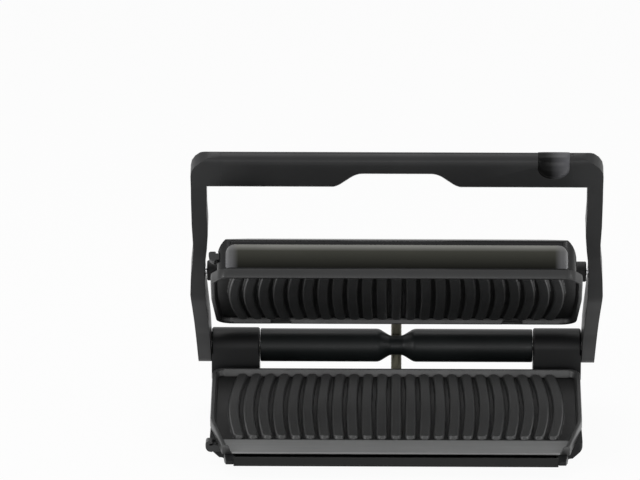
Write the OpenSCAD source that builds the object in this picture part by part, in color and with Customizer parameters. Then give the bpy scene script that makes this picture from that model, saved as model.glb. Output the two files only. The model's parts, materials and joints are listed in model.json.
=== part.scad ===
// Electric contact grill with a floating lid, held half open.
// +X is the grill's right, +Y its back and +Z up. The table is at z = 0.
// The handle turns about a hinge line along X at the back, and the lid hangs in the handle.

/* [Hinge and travel] */
// Height of the handle hinge above the table
hinge_z = 75; // [73:0.5:78]
// Angle of the handle above the level in the modelled, half open pose
handle_angle = 55; // [45:1:65]
// Angle of the handle above the level when shut
shut_angle = 8; // [7:0.5:9]
// How far the lid turns against the handle on the way from shut to the modelled pose
lid_turn = 12; // [10:0.5:13]
// Gap between the rims of the two plates when shut
shut_gap = 1.2; // [0.8:0.1:2]
// Distance from the hinge to the lid pivot, along the handle
pivot_reach = 152.5; // [150:0.5:155]
// How far the lid pivot lies under the line from the hinge to the crossbar
pivot_drop = 17.6; // [17:0.1:18.5]

/* [Lower casing] */
// Half width of the casing under the plate. The widths of all the main parts follow it
case_half = 208.5; // [190:0.5:225]
// How much narrower the casing is at its floor, on each side
case_foot_inset = 12.5; // [10.5:0.5:14.5]
// Distance from the hinge line to the back of the casing
case_back = 26; // [24:0.5:30]
// Distance from the hinge line to the front of the grill
front_reach = 283; // [281:0.5:287]
// Thickness of the plastic walls
wall = 2.5; // [2:0.1:3]
// Height of the feet
foot_h = 7; // [6:0.5:8]
// Radius of a foot
foot_r = 9; // [7:0.5:11]
// Depth of the rear deck under the hinge line
deck_drop = 35; // [33:0.5:38]
// Thickness of the bottom cover
cover_t = 2; // [1.5:0.1:2.5]

/* [Hinge] */
// Radius of the towers round the hinge line
tower_r = 20.3; // [19:0.1:21]
// Width of each tower
tower_w = 55; // [52.5:0.5:56.5]
// How far each tower stands out past the casing's side
tower_stand = 4; // [2.5:0.1:4.5]
// Radius of the hinge shaft
shaft_r = 6; // [5:0.1:7]
// Wall of the bushes in the towers
bush_wall = 3; // [2:0.1:4]
// Radius of the cross tube
tube_r = 19.1; // [18:0.1:20]
// Radius of the waist in the middle of the cross tube
waist_r = 11.2; // [10.5:0.1:13]
// Half length of the waist, out to the full tube
waist_half = 20; // [18:0.5:24]
// Gap between the tube and a tower
tube_gap = 0.8; // [0.5:0.1:1.5]

/* [Handle] */
// Distance from the hinge to the front edge of the crossbar
nose_reach = 330; // [325:1:335]
// Depth of the crossbar, front to back
bar_depth = 55; // [52:1:58]
// Height of the crossbar's top over the hinge plane
bar_top = 8; // [7:0.5:9]
// How far the crossbar's underside lies under the hinge plane
bar_under = 9; // [8:0.5:10]
// Thickness of the crossbar's top cover
bar_cover = 6; // [5:0.5:7]
// Depth of the chamfer under the crossbar's back edge
bar_chamfer = 12; // [10:0.5:13]
// How far the seam between crossbar and arm lies inside the tower's outer end
bar_inset = 16.5; // [14.5:0.5:18.5]
// Depth of the finger recess in the crossbar
recess_depth = 22; // [18:1:23]
// Half width of the finger recess at its bottom
recess_half = 45; // [40:1:52]
// Width of the finger recess's sloping sides
recess_side = 23; // [18:1:28]
// Radius of the bulge under the control dial
dial_r = 17.4; // [16:0.2:18]
// Distance of the control dial's middle from the crossbar's seam
dial_inset = 22; // [20:0.5:24]
// Travel of the keys
key_travel = 1.2; // [0.8:0.1:1.5]

/* [Plates] */
// How far the lower plate's rim stands out past the casing's side
plate_stand = 2.5; // [1:0.1:3]
// How much narrower than the lower plate the upper plate is, on each side
upper_inset = 1.8; // [1:0.1:3]
// Slope of the lower plate down to the front, in degrees
plate_slope = 7; // [6.5:0.25:7.5]
// Length of the cooking ribs
rib_len = 200; // [190:1:204]
// Spacing of the ribs
rib_pitch = 16.7; // [15.5:0.1:18]
// Thickness of a rib
rib_t = 9; // [7:0.2:10]
// How far the ribs draw in towards the middle at their ends, in percent
rib_bow = 4.6; // [0:0.2:6]
// Height of a rib
rib_h = 3.8; // [3:0.1:4.5]
// Height of the plates' rims
rim_h = 10; // [9:0.5:10.5]
// Depth of the cooking surface under the rim
plate_sink = 8; // [7:0.5:9]
// Thickness of the plates' floors
plate_t = 4; // [3:0.1:4.5]
// Thickness of the plates' rims
rim_t = 5; // [4:0.5:6]
// Length of the drain lip in front of the ribs
lip_len = 26; // [22:1:28]
// How much narrower than the plate the drain lip is, on each side
lip_inset = 34; // [31:1:39]

/* [Lid] */
// Distance from the lid pivot to the front of the upper plate
lid_front = 110; // [108:0.5:112]
// Distance from the lid pivot to the back of the upper plate
lid_back = 118; // [116:0.5:120]
// How much narrower than the lower plate the lid shell is, on each side
shell_inset = 10.5; // [9.5:0.5:12]
// Height of the shell's front over the lid pivot
shell_top = 10; // [9:0.5:11]
// Extra height of the shell in its middle
shell_dome = 13; // [8:1:16]
// How much narrower than the shell the steel front panel is, on each side
panel_inset = 10; // [9:0.5:14]
// Height of the steel front panel
panel_h = 26.5; // [25:0.5:27.5]
// Thickness of the steel panels
panel_t = 1; // [0.6:0.1:1.4]
// Radius of the bosses that the lid turns on
boss_r = 12; // [11:0.5:13]
// Radius of the lid pivot pins
pin_r = 4; // [3.5:0.1:5]

/* [Heating] */
// Radius of the heating tubes
heater_r = 3.25; // [3:0.05:3.5]
// Spacing of the heating tube's runs
heater_pitch = 56; // [50:1:60]
// Distance from the reflector's end to the heating tube's half rings
heater_inset = 34; // [32:1:50]

/* [Drip tray] */
// How much narrower than the casing the tray is, on each side
tray_inset = 28.5; // [27.5:0.5:30.5]
// Length of the tray, front to back
tray_len = 43; // [38:1:45]
// Height of the tray's front panel
tray_front_h = 8; // [7:0.5:8.5]
// Thickness of the tray's walls
tray_wall = 1.6; // [1.2:0.1:2]

/* [Conduit] */
// Radius of the metal-braided conduit
conduit_r = 6; // [5.5:0.1:6.5]

/* [Hidden] */
$fn = 64;

// Play between pieces that seat, slide or turn
seat_gap = 0.3;
shaft_play = 0.05;
fit_gap = 0.05;
hole_gap = 0.3;
// A little depth that a joined shape sinks into its carrier
sink = 0.1;
// A little extra length so that a cut passes its surface, and a length that passes the whole section
over = 1;
beyond = 60;

// Casing levels, from the hinge line
case_floor = foot_h - hinge_z;
deck = -deck_drop;
case_foot_half = case_half - case_foot_inset;
rear_reach = case_back + 6;
hinge_y = (front_reach - rear_reach) / 2;
// Height of the rounded corner between the casing's side and its floor
case_corner_h = 9;
// Half width of the casing's space in front of the line where the plate draws in
void_front_half = case_half - 22.5;
void_front_y = -190;

// Widths along the hinge line: towers, arms, crossbar and dial
tower_out = case_half + tower_stand;
tower_in = tower_out - tower_w;
arm_in = tower_out + 2.5;
bar_half = tower_out - bar_inset;
dial_x = bar_half - dial_inset;
duct_x = (tower_in + tower_out) / 2;
duct_half = 12;

// Screws: thread, head and length
screw_r = 1.8;
head_r = 3.5;
head_h = 1.5;
screw_len = 12;
// Screw pillars in the casing's corners, and posts of the bottom cover under the plate
pillar_r = 5;
pillar_h = 14;
pillar_y = [-208, 12];
post_r = 5;
post_x = [-120, 0, 120];
post_y = [-190, -60];
foot_x = 150;
foot_y = [-226, 2];
foot_edge = 3;

// Cord inlet: height of its middle, its hole in the casing, its bore and its flanges
gland_z = -52;
gland_hole_r = 7;
cord_hole_r = 3.9;
gland_flange = 3;
gland_lip = 6;
wire_hole_r = 3.5;

// Release levers: half length along the edge, reach inwards, and size of the thumb hook
lever_half = 8;
lever_reach = 20;
hook_w = 8;
hook_t = 2.4;
lever_y = -226;
lever_z = -56;
// Tongue of the lower lever, and the pocket for its hook
tongue_low = -4;
tongue_high = 3;
pocket_depth = 7;
pocket_gap = 0.7;
pocket_low = -5.2;

// Widths of the plates, the lid shell, the steel panel and the tray
lower_half = case_half + plate_stand;
upper_half = lower_half - upper_inset;
shell_half = lower_half - shell_inset;
panel_half = shell_half - panel_inset;
tray_half = case_half - tray_inset;

// Lower plate: back edge of its rim, from the hinge line
plate_back = 35;
plate_drop = 18;
back_bow = 2.7;
front_bow = 1.2;
plate_taper = 2;
rib_start = 6;
// Stations along a rib, as shares of its half length
rib_v = [-1, -0.96, -0.6, -0.2, 0.2, 0.6, 0.96, 1];
rib_end = rib_len;
plate_len = rib_end + lip_len + 4;
corner_r = 14;
upper_corner_r = 19;
heater_drop = plate_sink + plate_t + seat_gap + heater_r;
sheet_t = 0.8;
lip_half = lower_half - lip_inset;

// Lid pivot when shut, and its height over the lower plate's rim
shut_pivot = turn2([-pivot_reach, -pivot_drop], -shut_angle);
pivot_over = (shut_pivot - [-plate_back, -plate_drop]) * [-sin(plate_slope), cos(plate_slope)];
lid_under = pivot_over - shut_gap;
lid_lag = shut_angle + plate_slope + lid_turn;

// Lid levels, from its pivot
plate_top = -lid_under + rim_h + 1;
shell_low = plate_top + 0.5;
shell_front = lid_front - 3;
shell_back = lid_back - 3;
panel_low = shell_low + 1;
top_panel_half = panel_half - 38;
top_panel_front = -shell_front * 0.8;
top_panel_back = shell_back * 0.72;
boss_in = shell_half + 4;
boss_out = arm_in - 0.8;
pin_end = arm_in + 10;
lid_lever_y = -88;
lid_lever_z = -7;
lid_tongue = 3.5;
// How far the upper lever's hook stands out past the shell, and the pocket that it presses into
hook_stand = 9;
hook_pocket = 2.7;
hook_h = 11;
// Radii of the shell's corners: from above at the front and back, and from the front at its ends
front_corner_r = 20;
back_corner_r = 16;
end_corner_r = 24;
// How far back the bent ends of the steel front panel reach
panel_bend = 6;
// Frame in the shell's mouth: its band and thickness, its gap to the reflectors' ends, and its screws
frame_band = 24;
frame_t = 4;
reflector_gap = 6.5;
frame_screw_x = shell_half - 14;
frame_screw_y = [-60, 70];
lid_gland_z = shell_low + frame_t + conduit_r + wall + 0.9;
upper_heater_z = plate_top + seat_gap + heater_r;
reflector_half = shell_half - frame_band - reflector_gap;
heater_half = reflector_half - heater_inset;
reflector_len = 200;
// Where the reflectors start under their plates' backs, and the lid frame's opening round the upper one
reflector_start = 14;
lid_reflector_y = lid_back - 10;
frame_gap = 1;
frame_in = shell_half - frame_band;
frame_y0 = lid_reflector_y - reflector_len - frame_gap;
frame_y1 = lid_reflector_y - reflector_start + frame_gap;
pillar_x = reflector_half + 6;

// Handle cross section
bar_back = nose_reach - bar_depth;
bar_split = bar_top - bar_cover;
bar_floor = 2.5 - bar_under;
arm_hub_r = 18;
arm_bore_in = arm_in - 15;
shaft_half = arm_in + 7;
tube_half = tower_in - tube_gap;
dial_s = 318;
// Depth of the dial's bulge under the hinge plane, and its bevel
dial_low = bar_under + 5;
dial_bevel = 3;
ring_s = nose_reach - 23;
ring_r = 14.5;
ok_r = 9;
key_s = nose_reach - 17;
key_x = [-60, -20, 20, 60];
power_x = 46 - bar_half;
key_w = 12;
key_d = 9;
key_skin = bar_top - 2.5;
key_foot = 1;
// Control board, its switches under the keys and the pegs that it stands on
board_t = 1.6;
board_top = bar_split - 0.8;
switch_h = 1.5;
switch_half = 3;
peg_x = [-160, -100, 0, 100, 140];
peg_half = 2;
key_low = board_top + switch_h + key_travel + seat_gap;
cell_front = nose_reach - 9;
cell_back = nose_reach - 23;
// Chamfer of the crossbar's back edge: where it starts, and its angle from the handle's height
chamfer_z = 1;
chamfer_angle = atan(bar_chamfer / (bar_under + chamfer_z));
// Screws of the crossbar's cover: their place, and their seat over the hinge plane
bar_screw_x = [-150, 150];
bar_screw_s = bar_back + 7;
bar_screw_z = 0;
bar_screw_len = 5.5;
// Inner face of the arm where it meets the crossbar
arm_end_in = arm_in - 2.7;
// Radius of the finger recess's corners
recess_r = 26;

// Drip tray and the casing wall behind it
tray_low = case_floor + 5;
tray_back = front_reach - tray_len;
tray_top = tray_low + 6;
tray_nose = 10;
tray_lip_z = tray_low + 3;
bay_back = -tray_back + wall + seat_gap;

// Power board on the bottom cover, and the round parts on it
power_board = [-140, -20, -30, 14];
power_peg_x = [-134, -26];
power_peg_y = [-24, 8];
power_peg_h = 5;
relay_x = [-120, -95, -60];
relay = [16, 24, 11.5];

// Conduit: round route points, as [y, z] from the hinge line. It runs up behind the tube's waist,
// and on to the middle of the lid's back edge
hose_sides = 12;
hose_y = 20.5;
hose_foot = 13;
lower_route = [[hose_foot, deck + 0.2], [hose_foot, deck + 6], [16, -19], [hose_y - 1, -8], [hose_y, -2],
    [hose_y, -0.15]];
hose_bend = 22;
hose_mouth = lid_place([shell_back + 0.5, lid_gland_z]);
hose_inner = lid_place([shell_back - 4, lid_gland_z]);
hose_dir = unit(hose_mouth - hose_inner);
upper_route = [
    for (t = [0 : 0.125 : 1])
        curve([hose_y, 0.15], [hose_y, hose_bend], hose_mouth + hose_bend * hose_dir, hose_mouth, t),
    hose_inner];

// Turn a [y, z] point about the hinge line
function turn2(p, a) = [p.x * cos(a) - p.y * sin(a), p.x * sin(a) + p.y * cos(a)];
function unit(v) = v / norm(v);
// Place of a lid point [y, z] from the hinge line
function lid_place(p) = turn2([-pivot_reach, -pivot_drop] + turn2(p, lid_lag), -handle_angle);
// Point of a curve that leaves a towards b and comes to d from c
function curve(a, b, c, d, t) =
    a * (1 - t) ^ 3 + 3 * b * t * (1 - t) ^ 2 + 3 * c * (1 - t) * t ^ 2 + d * t ^ 3;
function wrap(a) = a > 180 ? a - 360 : a < -180 ? a + 360 : a;
function xy(p) = [p.x, p.y];

// Points of one rounded corner at b, between a and c
function corner_arc(a, b, c, r, n) =
    let (
        u = unit(a - b),
        v = unit(c - b),
        half = acos(u * v) / 2,
        mid = b + unit(u + v) * r / sin(half),
        first = b + u * r / tan(half) - mid,
        last = b + v * r / tan(half) - mid,
        start = atan2(first.y, first.x),
        sweep = wrap(atan2(last.y, last.x) - start)
    )
    [for (i = [0 : n]) mid + r * [cos(start + sweep * i / n), sin(start + sweep * i / n)]];

// Outline through corners given as [x, y, radius]
function rounded(p, n = 5) =
    let (k = len(p))
    [for (i = [0 : k - 1])
        each p[i].z == 0
            ? [xy(p[i])]
            : corner_arc(xy(p[(i + k - 1) % k]), xy(p[i]), xy(p[(i + 1) % k]), p[i].z, n)];

// Height of the lower plate's rim plane at y, from the hinge line
function rim_plane(y) = -plate_drop + (y + plate_back) * tan(plate_slope);
// Height of the casing edge that the lower plate seats on
function seat(y) = rim_plane(y) - (rim_h + seat_gap) / cos(plate_slope);

// Frames: hinge line, handle plane, lid pivot, lower plate rim
module at_hinge() { translate([0, hinge_y, hinge_z]) children(); }
module in_handle() { at_hinge() rotate([-handle_angle, 0, 0]) children(); }
module in_lid() { in_handle() translate([0, -pivot_reach, -pivot_drop]) rotate([lid_lag, 0, 0]) children(); }
module in_plate() { at_hinge() in_plate_local() children(); }
module in_plate_local() { translate([0, -plate_back, -plate_drop]) rotate([plate_slope, 0, 0]) children(); }

// Slabs drawn from the side (y, z), from the front (x, z) and from above (x, y)
module side_slab(points, x0, x1) {
    translate([x0, 0, 0]) rotate([90, 0, 90]) linear_extrude(x1 - x0) polygon(points);
}
module front_slab(points, y0, y1) {
    translate([0, y1, 0]) rotate([90, 0, 0]) linear_extrude(y1 - y0) polygon(points);
}
module plan_slab(points, z0, z1) {
    translate([0, 0, z0]) linear_extrude(z1 - z0) polygon(points);
}
module box(x0, x1, y0, y1, z0, z1) {
    translate([x0, y0, z0]) cube([x1 - x0, y1 - y0, z1 - z0]);
}
// Round bar and turned piece along X
module x_bar(x0, x1, r) { translate([x0, 0, 0]) rotate([0, 90, 0]) cylinder(h = x1 - x0, r = r); }
module x_barrel(x0, x1, r, edge) {
    rotate([90, 0, 90])
        rotate_extrude()
            polygon([[0, x0], [r - edge, x0], [r, x0 + edge], [r, x1 - edge], [r - edge, x1], [0, x1]]);
}
module both() { children(); mirror([1, 0, 0]) children(); }

// ---- Lower casing ----

function case_side() = rounded([
    [case_back, case_floor, 6], [case_back, deck, 4], [-plate_back - 3, deck, 0],
    [-plate_back - 3, seat(-plate_back - 3), 0],
    [-plate_back - plate_len + 4, seat(-plate_back - plate_len + 4), 0],
    [-front_reach + 2, -57, 1.5], [-front_reach + 2, -61, 1.5], [-front_reach + 20, -64.5, 0],
    [-front_reach + 33, case_floor, 0]]);
function case_front(w) = rounded([
    [case_foot_half - w, case_floor - over, 0], [case_half - w, case_floor + case_corner_h, 8],
    [case_half - w, 10, 0], [w - case_half, 10, 0],
    [w - case_half, case_floor + case_corner_h, 8], [w - case_foot_half, case_floor - over, 0]]);
function case_plan() = rounded([
    [case_half, case_back, 16], [case_half, -front_reach + 57, 8], [case_half - 16, -front_reach + 53, 5],
    [case_half - 20, -front_reach + 2, 4], [20 - case_half, -front_reach + 2, 4],
    [16 - case_half, -front_reach + 53, 5], [-case_half, -front_reach + 57, 8],
    [-case_half, case_back, 16]]);

module case_void() {
    intersection() {
        front_slab(case_front(wall), bay_back, case_back - wall);
        union() {
            box(-case_half, case_half, -plate_back - 5.5, case_back - wall, case_floor - over, deck - wall);
            box(-case_half, case_half, void_front_y, -plate_back - 5.5, case_floor - over, 0);
            box(-void_front_half, void_front_half, bay_back, void_front_y + over, case_floor - over, 0);
        }
    }
    box(-tray_half - seat_gap, tray_half + seat_gap, -front_reach - over, -tray_back + seat_gap,
        tray_low - seat_gap, 0);
}

module base_shell() {
    color("#26282a") at_hinge() difference() {
        intersection() {
            side_slab(case_side(), -case_half, case_half);
            front_slab(case_front(0), -front_reach, case_back);
            plan_slab(case_plan(), case_floor, 0);
        }
        difference() {
            case_void();
            for (x = [-1, 1], y = pillar_y)
                translate([x * pillar_x, y, case_floor + cover_t + seat_gap])
                    cylinder(h = pillar_h, r = pillar_r);
        }
        for (x = [-1, 1], y = pillar_y)
            translate([x * pillar_x, y, case_floor]) cylinder(h = screw_len + over, r = screw_r + fit_gap);
        lever_hole();
        translate([0, 0, gland_z]) y_hole(gland_hole_r + fit_gap);
        translate([0, lower_route[0].x, deck - wall - over]) cylinder(h = 10, r = conduit_r + wall);
        for (x = [-duct_x, duct_x])
            box(x - duct_half, x + duct_half, -duct_half, duct_half, deck - wall - over, deck + over);
    }
}
module y_hole(r) {
    translate([0, case_back + over, 0]) rotate([90, 0, 0]) cylinder(h = wall + 2 * over, r = r);
}
module lever_hole() {
    slot = lever_half + seat_gap;
    pocket = lever_half + pocket_gap;
    box(-case_half - over, -case_half + lever_reach + 8, lever_y - slot, lever_y + slot,
        lever_z + tongue_low - seat_gap, lever_z + tongue_high + seat_gap);
    box(-case_half - over, -case_half + pocket_depth, lever_y - pocket, lever_y + pocket,
        lever_z + pocket_low, 0);
}

module base_cover() {
    color("#1c1d1e") at_hinge() difference() {
        union() {
            box(seat_gap - void_front_half, void_front_half - seat_gap, bay_back + seat_gap,
                case_back - wall - seat_gap, case_floor, case_floor + cover_t);
            for (x = post_x, y = post_y)
                translate([x, y, case_floor]) cylinder(h = beyond, r = post_r);
        }
        in_plate_local() box(-case_half, case_half, -plate_len, beyond,
            -heater_drop - heater_r - sheet_t - 2 * seat_gap, beyond);
        for (x = [-1, 1], y = pillar_y)
            translate([x * pillar_x, y, case_floor - over])
                cylinder(h = cover_t + 2 * over, r = screw_r + hole_gap);
    }
}

module base_screws() {
    color("silver") at_hinge()
        for (x = [-1, 1], y = pillar_y) translate([x * pillar_x, y, case_floor]) {
            translate([0, 0, -head_h]) cylinder(h = head_h, r = head_r);
            cylinder(h = screw_len, r = screw_r);
        }
}

module feet() {
    color("#151515") at_hinge()
        for (x = [-foot_x, foot_x], y = foot_y) translate([x, y, -hinge_z]) {
            cylinder(h = foot_edge, r1 = foot_r - 1, r2 = foot_r);
            translate([0, 0, foot_edge]) cylinder(h = foot_h - foot_edge, r = foot_r);
        }
}

module cord_gland() {
    color("#1a1a1a") at_hinge() translate([0, 0, gland_z]) rotate([-90, 0, 0]) difference() {
        union() {
            translate([0, 0, case_back - wall - gland_flange])
                cylinder(h = gland_flange - seat_gap / 2, r = gland_hole_r + gland_flange);
            translate([0, 0, case_back - wall - gland_flange])
                cylinder(h = gland_flange + wall, r = gland_hole_r);
            translate([0, 0, case_back]) cylinder(h = gland_lip, r = gland_hole_r + 2);
        }
        translate([0, 0, case_back - wall - gland_flange - over])
            cylinder(h = gland_flange + wall + gland_lip + 2 * over, r = cord_hole_r);
    }
}

module conduit_gland_base() {
    color("#202224") at_hinge() translate([0, lower_route[0].x, deck]) difference() {
        union() {
            translate([0, 0, -wall - over]) cylinder(h = wall + over, r = conduit_r + wall - fit_gap);
            translate([0, 0, -wall - gland_flange])
                cylinder(h = gland_flange - fit_gap, r = conduit_r + wall + 1.5);
        }
        translate([0, 0, -wall]) cylinder(h = wall + over, r = conduit_r + fit_gap);
        translate([0, 0, -beyond]) cylinder(h = 2 * beyond, r = wire_hole_r);
    }
}

// ---- Hinge ----

module tower() {
    color("#2b2d2f") at_hinge() difference() {
        union() {
            x_barrel(tower_in, tower_out, tower_r, 1.5);
            intersection() {
                box(tower_in, tower_out, -tower_r, tower_r, deck, 0);
                union() {
                    box(tower_in, tower_out, -tower_r, tower_r, deck, -6);
                    box(tower_in + 1.5, tower_out - 1.5, -tower_r, tower_r, -7, 0);
                }
            }
        }
        x_bar(tower_in - over, tower_out + over, shaft_r + bush_wall + fit_gap);
        box(duct_x - duct_half, duct_x + duct_half, -duct_half, duct_half,
            deck - over, -shaft_r - bush_wall - 3);
    }
}
module tower_right() { tower(); }
module tower_left() { mirror([1, 0, 0]) tower(); }

module bush() {
    color("#c8b273") at_hinge() difference() {
        x_bar(tower_in, tower_out, shaft_r + bush_wall);
        x_bar(tower_in - over, tower_out + over, shaft_r + shaft_play);
    }
}
module bush_right() { bush(); }
module bush_left() { mirror([1, 0, 0]) bush(); }

module hinge_shaft() { color("silver") at_hinge() x_bar(-shaft_half, shaft_half, shaft_r); }

function tube_profile() = rounded([
    [shaft_r + fit_gap, -tube_half, 0], [tube_r, -tube_half, 1.5], [tube_r, -waist_half, 12],
    [waist_r, -waist_half * 0.36, 10], [waist_r, waist_half * 0.36, 10], [tube_r, waist_half, 12],
    [tube_r, tube_half, 1.5], [shaft_r + fit_gap, tube_half, 0]], 6);
module cross_tube() {
    color("#2c3032") at_hinge() rotate([90, 0, 90]) rotate_extrude($fn = 96) polygon(tube_profile());
}

// ---- Handle ----

function bar_side() = rounded([
    [-nose_reach, bar_top, 7], [-nose_reach, -bar_under, 8], [-bar_back - bar_chamfer, -bar_under, 4],
    [-bar_back, chamfer_z, 3], [-bar_back, bar_top, 2]]);
function arm_side() = rounded([
    [-nose_reach, bar_top, 7], [-nose_reach, -bar_under, 8], [-bar_back - 4, -bar_under, 30],
    [-200, -34, 60], [-125, -37, 60], [-50, -25, 60], [arm_hub_r, -arm_hub_r, arm_hub_r - 0.1],
    [arm_hub_r, arm_hub_r, arm_hub_r - 0.1], [-60, 12, 60], [-150, -4, 90], [-230, 1, 70],
    [-bar_back + 6, bar_top, 30]], 6);
// Outline of the right arm from above, as x from its inner face and y from the hinge line.
// Its outer edge runs out from the hinge, and its inner edge back to it
arm_outer = [
    [12.8, arm_hub_r, 3], [13.2, 0, 0], [13.9, -24, 0], [15.6, -76, 0], [16.8, -102, 60],
    [18.4, -132, 30], [17.4, -156, 30], [14.8, -184, 40], [13.3, -206, 40], [14.6, -236, 60],
    [14.9, -270, 0], [14.4, -nose_reach, 27]];
arm_inner = [
    [-2.7, -bar_back, 0], [-2.5, -250, 0], [-3.4, -224, 40], [-2, -206, 30], [1.4, -175, 60],
    [1.3, -130, 60], [-0.4, -76, 0], [-1.6, -40, 0], [-2, arm_hub_r, 2]];
function arm_plan() = rounded(concat(
    [for (p = arm_outer) p + [arm_in, 0, 0]],
    [[bar_half, -nose_reach, 0], [bar_half, -bar_back, 0]],
    [for (p = arm_inner) p + [arm_in, 0, 0]]));

module arm() {
    color("#303234") in_handle() difference() {
        intersection() {
            side_slab(arm_side(), bar_half - over, bar_half + beyond);
            plan_slab(arm_plan(), -beyond, beyond);
        }
        // The crossbar's chamfer goes on in the block that joins the arm to it
        side_slab([[-bar_back - bar_chamfer, -bar_under], [-bar_back, chamfer_z],
            [over - bar_back, chamfer_z], [over - bar_back, -beyond], [-bar_back - bar_chamfer, -beyond]],
            bar_half - 2 * over, arm_end_in);
        x_bar(arm_bore_in, shaft_half + seat_gap, shaft_r + fit_gap);
        translate([0, -pivot_reach, -pivot_drop]) x_bar(arm_bore_in, pin_end + seat_gap, pin_r + fit_gap);
    }
}
module arm_right() { arm(); }
module arm_left() { mirror([1, 0, 0]) arm(); }

// Outline of the finger recess behind the crossbar's back edge, its depth scaled by k
function recess_plan(k) = rounded([
    [recess_half + recess_side + 25, over, 0], [recess_half + recess_side, over * 0.2, recess_r],
    [recess_half, -recess_depth * k, recess_r], [-recess_half, -recess_depth * k, recess_r],
    [-recess_half - recess_side, over * 0.2, recess_r], [-recess_half - recess_side - 25, over, 0]], 8);
// Recess: square through the cover, and slanted like the chamfer below it
module recess() {
    translate([0, -bar_back, chamfer_z]) {
        plan_slab(recess_plan(1), -beyond, beyond);
        rotate([-chamfer_angle, 0, 0]) plan_slab(recess_plan(cos(chamfer_angle)), -beyond, 0);
    }
}
module bar_block() {
    difference() {
        side_slab(bar_side(), -bar_half, bar_half);
        recess();
    }
}
module dial_bulge(grow) {
    intersection() {
        translate([dial_x, -dial_s, 0]) rotate_extrude()
            polygon([[0, -dial_low], [dial_r + grow - dial_bevel, -dial_low],
                [dial_r + grow, dial_bevel - dial_low], [dial_r + grow, bar_split], [0, bar_split]]);
        side_slab([[-nose_reach + 1, bar_split], [-nose_reach + 1, -bar_under], [-nose_reach + 6, -dial_low],
            [-bar_back, -dial_low - 3], [-bar_back, bar_split]], dial_x - 30, dial_x + 30);
    }
}

module crossbar() {
    color("#2a2c2d") in_handle() difference() {
        intersection() {
            bar_block();
            box(-bar_half, bar_half, -nose_reach - over, 0, -beyond, bar_split);
        }
        box(-bar_half + 6, dial_x - dial_r - 8, -cell_front, -cell_back, bar_floor, bar_split + over);
        dial_bulge(seat_gap / 2);
        for (x = bar_screw_x) translate([x, -bar_screw_s, bar_screw_z]) {
            cylinder(h = beyond, r = screw_r + fit_gap);
            translate([0, 0, -beyond]) cylinder(h = beyond, r = head_r + 0.5);
        }
    }
}

module bar_screws() {
    color("silver") in_handle() for (x = bar_screw_x) translate([x, -bar_screw_s, bar_screw_z]) {
        translate([0, 0, -head_h]) cylinder(h = head_h, r = head_r);
        cylinder(h = bar_screw_len, r = screw_r);
    }
}

module bar_cover_panel() {
    color("#333536") in_handle() difference() {
        intersection() {
            bar_block();
            box(-bar_half, bar_half, -nose_reach - over, 0, bar_split, beyond);
        }
        box(-bar_half + 6, dial_x - ring_r - 3, -cell_front, -cell_back, bar_split - over, key_skin);
        for (x = concat(key_x, [power_x]))
            translate([x, -key_s, 0]) key_plan(seat_gap, bar_split, bar_top + over);
        translate([dial_x, -ring_s, bar_split - over]) cylinder(h = beyond, r = ring_r + seat_gap / 2);
        for (x = bar_screw_x) translate([x, -bar_screw_s, bar_screw_z])
            cylinder(h = bar_screw_len + 0.5, r = screw_r + fit_gap);
    }
}
module key_plan(g, z0, z1) {
    plan_slab(rounded([[key_w / 2 + g, -key_d / 2 - g, 2], [key_w / 2 + g, key_d / 2 + g, 2],
        [-key_w / 2 - g, key_d / 2 + g, 2], [-key_w / 2 - g, -key_d / 2 - g, 2]], 4), z0, z1);
}
module key(x) {
    color("#17181a") in_handle() translate([x, -key_s, 0]) {
        key_plan(0, key_low, bar_top + key_foot);
        box(-key_w / 2 - key_foot, key_w / 2 + key_foot, -key_d / 2 - key_foot, key_d / 2 + key_foot,
            key_low, key_skin - seat_gap);
    }
}
module power_key() { key(power_x); }
module key_1() { key(key_x[0]); }
module key_2() { key(key_x[1]); }
module key_3() { key(key_x[2]); }
module key_4() { key(key_x[3]); }

module control_board() {
    color("#1f5a36") in_handle() {
        box(-bar_half + 8, dial_x - dial_r - 10, -cell_front + 1, -cell_back - 1,
            board_top - board_t, board_top);
        for (x = concat(key_x, [power_x]))
            box(x - switch_half, x + switch_half, -key_s - switch_half, -key_s + switch_half,
                board_top, board_top + switch_h);
        for (x = peg_x)
            box(x - peg_half, x + peg_half, -cell_front + 3, -cell_back - 3, bar_floor, board_top - board_t);
    }
}

module dial_cup() {
    color("#2d2f31") in_handle() difference() {
        dial_bulge(0);
        translate([dial_x, 6 - dial_s, dial_bevel - dial_low]) cylinder(h = beyond, r = dial_r - 8);
    }
}
module indicator_ring() {
    color("#d9dcdd") in_handle() translate([dial_x, -ring_s, 0]) difference() {
        translate([0, 0, bar_split + 0.2]) cylinder(h = bar_cover + 0.6, r = ring_r);
        translate([0, 0, bar_split - over]) cylinder(h = beyond, r = ok_r + seat_gap);
    }
}
module ok_key() {
    color("#3a3c3e") in_handle() translate([dial_x, -ring_s, 0])
        translate([0, 0, bar_split + key_travel + seat_gap]) cylinder(h = bar_cover - 0.2, r = ok_r);
}

// ---- Lid pivots ----

module pivot_pin() {
    color("silver") in_handle() translate([0, -pivot_reach, -pivot_drop])
        x_bar(boss_in + 1, pin_end, pin_r);
}
module pivot_pin_right() { pivot_pin(); }
module pivot_pin_left() { mirror([1, 0, 0]) pivot_pin(); }

// ---- Lid ----

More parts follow.
